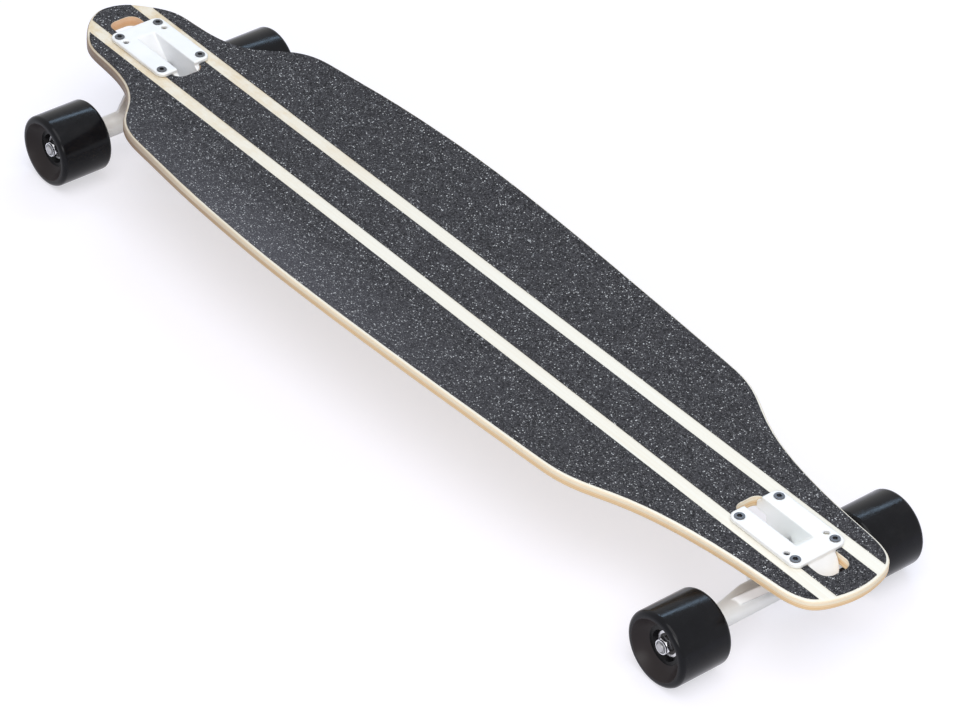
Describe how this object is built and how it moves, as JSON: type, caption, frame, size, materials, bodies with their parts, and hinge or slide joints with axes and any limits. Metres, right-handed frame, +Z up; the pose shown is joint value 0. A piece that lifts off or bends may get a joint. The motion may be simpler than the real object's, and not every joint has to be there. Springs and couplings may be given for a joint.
{
  "type": "longboard skateboard",
  "caption": "Drop-through longboard: dished maple deck with striped grip tape, leaning reverse-kingpin trucks and free-spinning urethane wheels on ball bearings.",
  "frame": {"origin": "on the ground, under the middle of the deck", "axes": "+X along the deck from the rounded nose to the blunt tail, +Y across the deck to the right when facing the nose, +Z up"},
  "size_m": [0.99, 0.2538, 0.0981],
  "materials": {
    "maple": "clear-coated maple laminate",
    "grip": "grit-coated tape",
    "black_screw": "black oxide steel",
    "zinc_steel": "zinc-plated steel",
    "cast_alloy": "polished cast aluminium",
    "black_plastic": "moulded urethane cup",
    "bushing_urethane": "cast urethane",
    "axle_steel": "ground steel",
    "bright_nut": "plated lock nut",
    "wheel_urethane": "glossy cast urethane",
    "core_plastic": "moulded nylon core",
    "bearing_steel": "ground bearing steel",
    "cage_plastic": "moulded nylon cage",
    "shield": "dark bearing shield"
  },
  "bodies": {
    "board": {"deck": "maple", "grip_tape_left": "grip", "grip_tape_center": "grip", "grip_tape_right": "grip", "mount_screws": "black_screw", "mount_nuts": "zinc_steel", "nose_truck_baseplate": "cast_alloy", "nose_truck_pivot_cup": "black_plastic", "nose_truck_kingpin": "zinc_steel", "nose_truck_kingpin_nut": "zinc_steel", "nose_truck_bushing_board_side": "bushing_urethane", "nose_truck_bushing_road_side": "bushing_urethane", "nose_truck_bushing_washers": "zinc_steel", "tail_truck_baseplate": "cast_alloy", "tail_truck_pivot_cup": "black_plastic", "tail_truck_kingpin": "zinc_steel", "tail_truck_kingpin_nut": "zinc_steel", "tail_truck_bushing_board_side": "bushing_urethane", "tail_truck_bushing_road_side": "bushing_urethane", "tail_truck_bushing_washers": "zinc_steel"},
    "nose_hanger": {"nose_truck_hanger": "cast_alloy", "nose_truck_axle": "axle_steel", "nose_truck_axle_nuts": "bright_nut", "nose_truck_speed_washers": "zinc_steel", "nose_truck_bearing_spacers": "zinc_steel", "nose_left_wheel_bearing_inner_rings": "bearing_steel", "nose_right_wheel_bearing_inner_rings": "bearing_steel"},
    "nose_left_wheel": {"nose_left_wheel_tire": "wheel_urethane", "nose_left_wheel_core": "core_plastic", "nose_left_wheel_bearing_outer_rings": "bearing_steel", "nose_left_wheel_bearing_shields": "shield"},
    "nose_left_wheel_ball_set": {"nose_left_wheel_bearing_balls": "bearing_steel", "nose_left_wheel_bearing_cages": "cage_plastic"},
    "nose_right_wheel": {"nose_right_wheel_tire": "wheel_urethane", "nose_right_wheel_core": "core_plastic", "nose_right_wheel_bearing_outer_rings": "bearing_steel", "nose_right_wheel_bearing_shields": "shield"},
    "nose_right_wheel_ball_set": {"nose_right_wheel_bearing_balls": "bearing_steel", "nose_right_wheel_bearing_cages": "cage_plastic"},
    "tail_hanger": {"tail_truck_hanger": "cast_alloy", "tail_truck_axle": "axle_steel", "tail_truck_axle_nuts": "bright_nut", "tail_truck_speed_washers": "zinc_steel", "tail_truck_bearing_spacers": "zinc_steel", "tail_left_wheel_bearing_inner_rings": "bearing_steel", "tail_right_wheel_bearing_inner_rings": "bearing_steel"},
    "tail_left_wheel": {"tail_left_wheel_tire": "wheel_urethane", "tail_left_wheel_core": "core_plastic", "tail_left_wheel_bearing_outer_rings": "bearing_steel", "tail_left_wheel_bearing_shields": "shield"},
    "tail_left_wheel_ball_set": {"tail_left_wheel_bearing_balls": "bearing_steel", "tail_left_wheel_bearing_cages": "cage_plastic"},
    "tail_right_wheel": {"tail_right_wheel_tire": "wheel_urethane", "tail_right_wheel_core": "core_plastic", "tail_right_wheel_bearing_outer_rings": "bearing_steel", "tail_right_wheel_bearing_shields": "shield"},
    "tail_right_wheel_ball_set": {"tail_right_wheel_bearing_balls": "bearing_steel", "tail_right_wheel_bearing_cages": "cage_plastic"}
  },
  "joints": [
    {"name": "nose_truck_steer", "type": "hinge", "parent": "board", "child": "nose_hanger", "pos_m": [-0.40411, 0, 0.03639], "axis": [-0.7071, 0, 0.7071], "range_deg": [-15, 15], "stiffness_Nm_per_rad": 80, "deforming": ["nose_truck_bushing_board_side", "nose_truck_bushing_road_side"]},
    {"name": "nose_left_wheel_spin", "type": "hinge", "parent": "nose_hanger", "child": "nose_left_wheel", "pos_m": [-0.408, 0, 0.0325], "axis": [0, 1, 0], "continuous": true},
    {"name": "nose_left_wheel_ball_set_spin", "type": "hinge", "parent": "nose_hanger", "child": "nose_left_wheel_ball_set", "pos_m": [-0.408, 0, 0.0325], "axis": [0, 1, 0], "continuous": true},
    {"name": "nose_right_wheel_spin", "type": "hinge", "parent": "nose_hanger", "child": "nose_right_wheel", "pos_m": [-0.408, 0, 0.0325], "axis": [0, 1, 0], "continuous": true},
    {"name": "nose_right_wheel_ball_set_spin", "type": "hinge", "parent": "nose_hanger", "child": "nose_right_wheel_ball_set", "pos_m": [-0.408, 0, 0.0325], "axis": [0, 1, 0], "continuous": true},
    {"name": "tail_truck_steer", "type": "hinge", "parent": "board", "child": "tail_hanger", "pos_m": [0.40411, 0, 0.03639], "axis": [0.7071, 0, 0.7071], "range_deg": [-15, 15], "stiffness_Nm_per_rad": 80, "deforming": ["tail_truck_bushing_board_side", "tail_truck_bushing_road_side"]},
    {"name": "tail_left_wheel_spin", "type": "hinge", "parent": "tail_hanger", "child": "tail_left_wheel", "pos_m": [0.408, 0, 0.0325], "axis": [0, 1, 0], "continuous": true},
    {"name": "tail_left_wheel_ball_set_spin", "type": "hinge", "parent": "tail_hanger", "child": "tail_left_wheel_ball_set", "pos_m": [0.408, 0, 0.0325], "axis": [0, 1, 0], "continuous": true},
    {"name": "tail_right_wheel_spin", "type": "hinge", "parent": "tail_hanger", "child": "tail_right_wheel", "pos_m": [0.408, 0, 0.0325], "axis": [0, 1, 0], "continuous": true},
    {"name": "tail_right_wheel_ball_set_spin", "type": "hinge", "parent": "tail_hanger", "child": "tail_right_wheel_ball_set", "pos_m": [0.408, 0, 0.0325], "axis": [0, 1, 0], "continuous": true}
  ],
  "couplings": [
    {"joint": "nose_left_wheel_ball_set_spin", "follows": "nose_left_wheel_spin", "ratio": 0.6309},
    {"joint": "nose_right_wheel_ball_set_spin", "follows": "nose_right_wheel_spin", "ratio": 0.6309},
    {"joint": "tail_left_wheel_ball_set_spin", "follows": "tail_left_wheel_spin", "ratio": 0.6309},
    {"joint": "tail_right_wheel_ball_set_spin", "follows": "tail_right_wheel_spin", "ratio": 0.6309}
  ]
}
